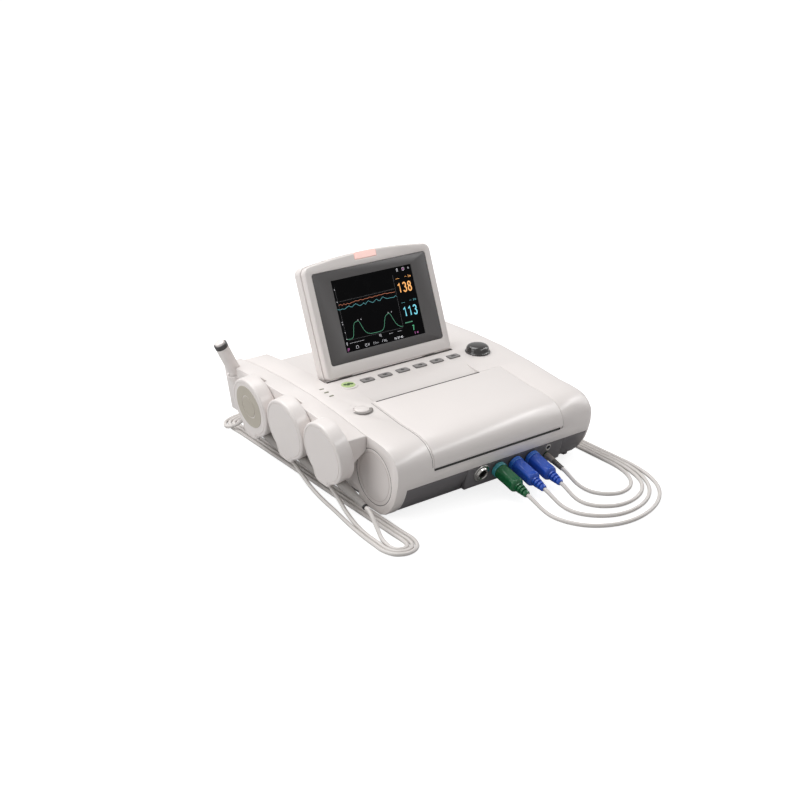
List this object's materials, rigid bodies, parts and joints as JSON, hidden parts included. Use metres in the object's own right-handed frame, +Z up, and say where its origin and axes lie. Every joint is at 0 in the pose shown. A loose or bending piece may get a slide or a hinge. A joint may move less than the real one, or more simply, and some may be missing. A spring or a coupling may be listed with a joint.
{
  "type": "cardiotocograph",
  "caption": "Table-top cardiotocograph with a fold-back screen, lift-up paper cover, keys and knob, a side rack of belt transducers and a push-button marker, cords laid round to its plugs",
  "frame": {"origin": "middle of the device's box on the surface it stands on, cords and plugs left out", "axes": "+X to the device's right, towards the knob; +Y from the paper cover to the rear; +Z up"},
  "size_m": [0.4228, 0.5634, 0.2261],
  "materials": {
    "shell": "semi-gloss off-white",
    "marker_shell": "semi-gloss off-white",
    "dark_plastic": "satin dark grey",
    "bezel": "satin dark grey",
    "key": "matt grey",
    "start_key": "matt light green",
    "knob": "gloss dark grey",
    "lamp": "translucent pink",
    "lcd_glass": "black LCD glass",
    "steel": "plain",
    "contact_metal": "bright",
    "board": "green circuit board",
    "paper": "folded paper",
    "rubber": "black rubber",
    "relief": "grey rubber",
    "membrane": "beige rubber",
    "plug_green": "satin dark green",
    "plug_blue": "satin blue",
    "plug_grey": "satin grey",
    "cable": "light grey cable"
  },
  "bodies": {
    "unit": {"top_case": "shell", "end_cap": "shell", "transducer_rack": "shell", "us_1_shell": "shell", "us_2_shell": "shell", "toco_shell": "shell", "paper_tray": "shell", "marker_handle": "marker_shell", "bottom_case": "dark_plastic", "connector_panel": "dark_plastic", "speaker": "dark_plastic", "power_inlet": "dark_plastic", "status_lights": "key", "hinge_bracket": "steel", "paper_motor": "steel", "print_head": "steel", "knob_encoder": "steel", "service_socket": "contact_metal", "socket_board": "board", "key_board": "board", "main_board": "board", "paper_pack": "paper", "toco_membrane": "membrane", "us_1_relief": "relief", "us_2_relief": "relief", "toco_relief": "relief", "toco_plug": "plug_green", "us_1_plug": "plug_blue", "us_2_plug": "plug_blue", "marker_plug": "plug_grey", "us_1_lead": "cable", "us_1_coil": "cable", "us_1_tail": "cable", "us_2_lead": "cable", "us_2_coil": "cable", "us_2_tail": "cable", "toco_lead": "cable", "toco_coil": "cable", "toco_tail": "cable", "marker_lead": "cable", "marker_coil": "cable", "marker_tail": "cable"},
    "screen": {"screen_front_shell": "shell", "screen_rear_shell": "shell", "screen_bezel": "bezel", "lcd_panel": "lcd_glass", "alarm_lamp": "lamp"},
    "cover": {"paper_cover": "shell"},
    "latch": {"latch_button": "shell"},
    "start": {"start_key": "start_key"},
    "knob": {"control_knob": "knob"},
    "platen": {"platen_roller": "rubber"},
    "pinion": {"motor_pinion": "plug_grey"},
    "marker_push": {"marker_button": "marker_shell"},
    "button_1": {"key_1": "key"},
    "button_2": {"key_2": "key"},
    "button_3": {"key_3": "key"},
    "button_4": {"key_4": "key"},
    "button_5": {"key_5": "key"},
    "button_6": {"key_6": "key"}
  },
  "joints": [
    {"name": "screen_fold", "type": "hinge", "parent": "unit", "child": "screen", "pos_m": [0.00689, 0.0208, 0.086], "axis": [1, 0, 0], "range_deg": [-68.5, 8]},
    {"name": "cover_hinge", "type": "hinge", "parent": "unit", "child": "cover", "pos_m": [0.02309, -0.1631, 0.0546], "axis": [1, 0, 0], "range_deg": [0, 55]},
    {"name": "latch_press", "type": "slide", "parent": "unit", "child": "latch", "axis": [0, 0, -1], "range_m": [0, 0.0025], "stiffness_N_per_m": 400, "springref_m": -0.002},
    {"name": "start_press", "type": "slide", "parent": "unit", "child": "start", "axis": [0, 0, -1], "range_m": [0, 0.0012], "stiffness_N_per_m": 300, "springref_m": -0.002},
    {"name": "key_1_press", "type": "slide", "parent": "unit", "child": "button_1", "axis": [0, 0, -1], "range_m": [0, 0.0012], "stiffness_N_per_m": 300, "springref_m": -0.002},
    {"name": "key_2_press", "type": "slide", "parent": "unit", "child": "button_2", "axis": [0, 0, -1], "range_m": [0, 0.0012], "stiffness_N_per_m": 300, "springref_m": -0.002},
    {"name": "key_3_press", "type": "slide", "parent": "unit", "child": "button_3", "axis": [0, 0, -1], "range_m": [0, 0.0012], "stiffness_N_per_m": 300, "springref_m": -0.002},
    {"name": "key_4_press", "type": "slide", "parent": "unit", "child": "button_4", "axis": [0, 0, -1], "range_m": [0, 0.0012], "stiffness_N_per_m": 300, "springref_m": -0.002},
    {"name": "key_5_press", "type": "slide", "parent": "unit", "child": "button_5", "axis": [0, 0, -1], "range_m": [0, 0.0012], "stiffness_N_per_m": 300, "springref_m": -0.002},
    {"name": "key_6_press", "type": "slide", "parent": "unit", "child": "button_6", "axis": [0, 0, -1], "range_m": [0, 0.0012], "stiffness_N_per_m": 300, "springref_m": -0.002},
    {"name": "knob_turn", "type": "hinge", "parent": "unit", "child": "knob", "pos_m": [0.11929, -0.0065, 0.098], "axis": [0, 0, 1], "continuous": true},
    {"name": "platen_spin", "type": "hinge", "parent": "unit", "child": "platen", "pos_m": [0.02309, -0.1466, 0.048], "axis": [1, 0, 0], "continuous": true},
    {"name": "pinion_spin", "type": "hinge", "parent": "unit", "child": "pinion", "pos_m": [0.12259, -0.13705, 0.03845], "axis": [1, 0, 0], "continuous": true},
    {"name": "marker_press", "type": "slide", "parent": "unit", "child": "marker_push", "axis": [0.4163, 0, -0.9092], "range_m": [0, 0.002], "stiffness_N_per_m": 400, "springref_m": -0.002}
  ],
  "couplings": [
    {"joint": "pinion_spin", "follows": "platen_spin", "ratio": -2}
  ]
}
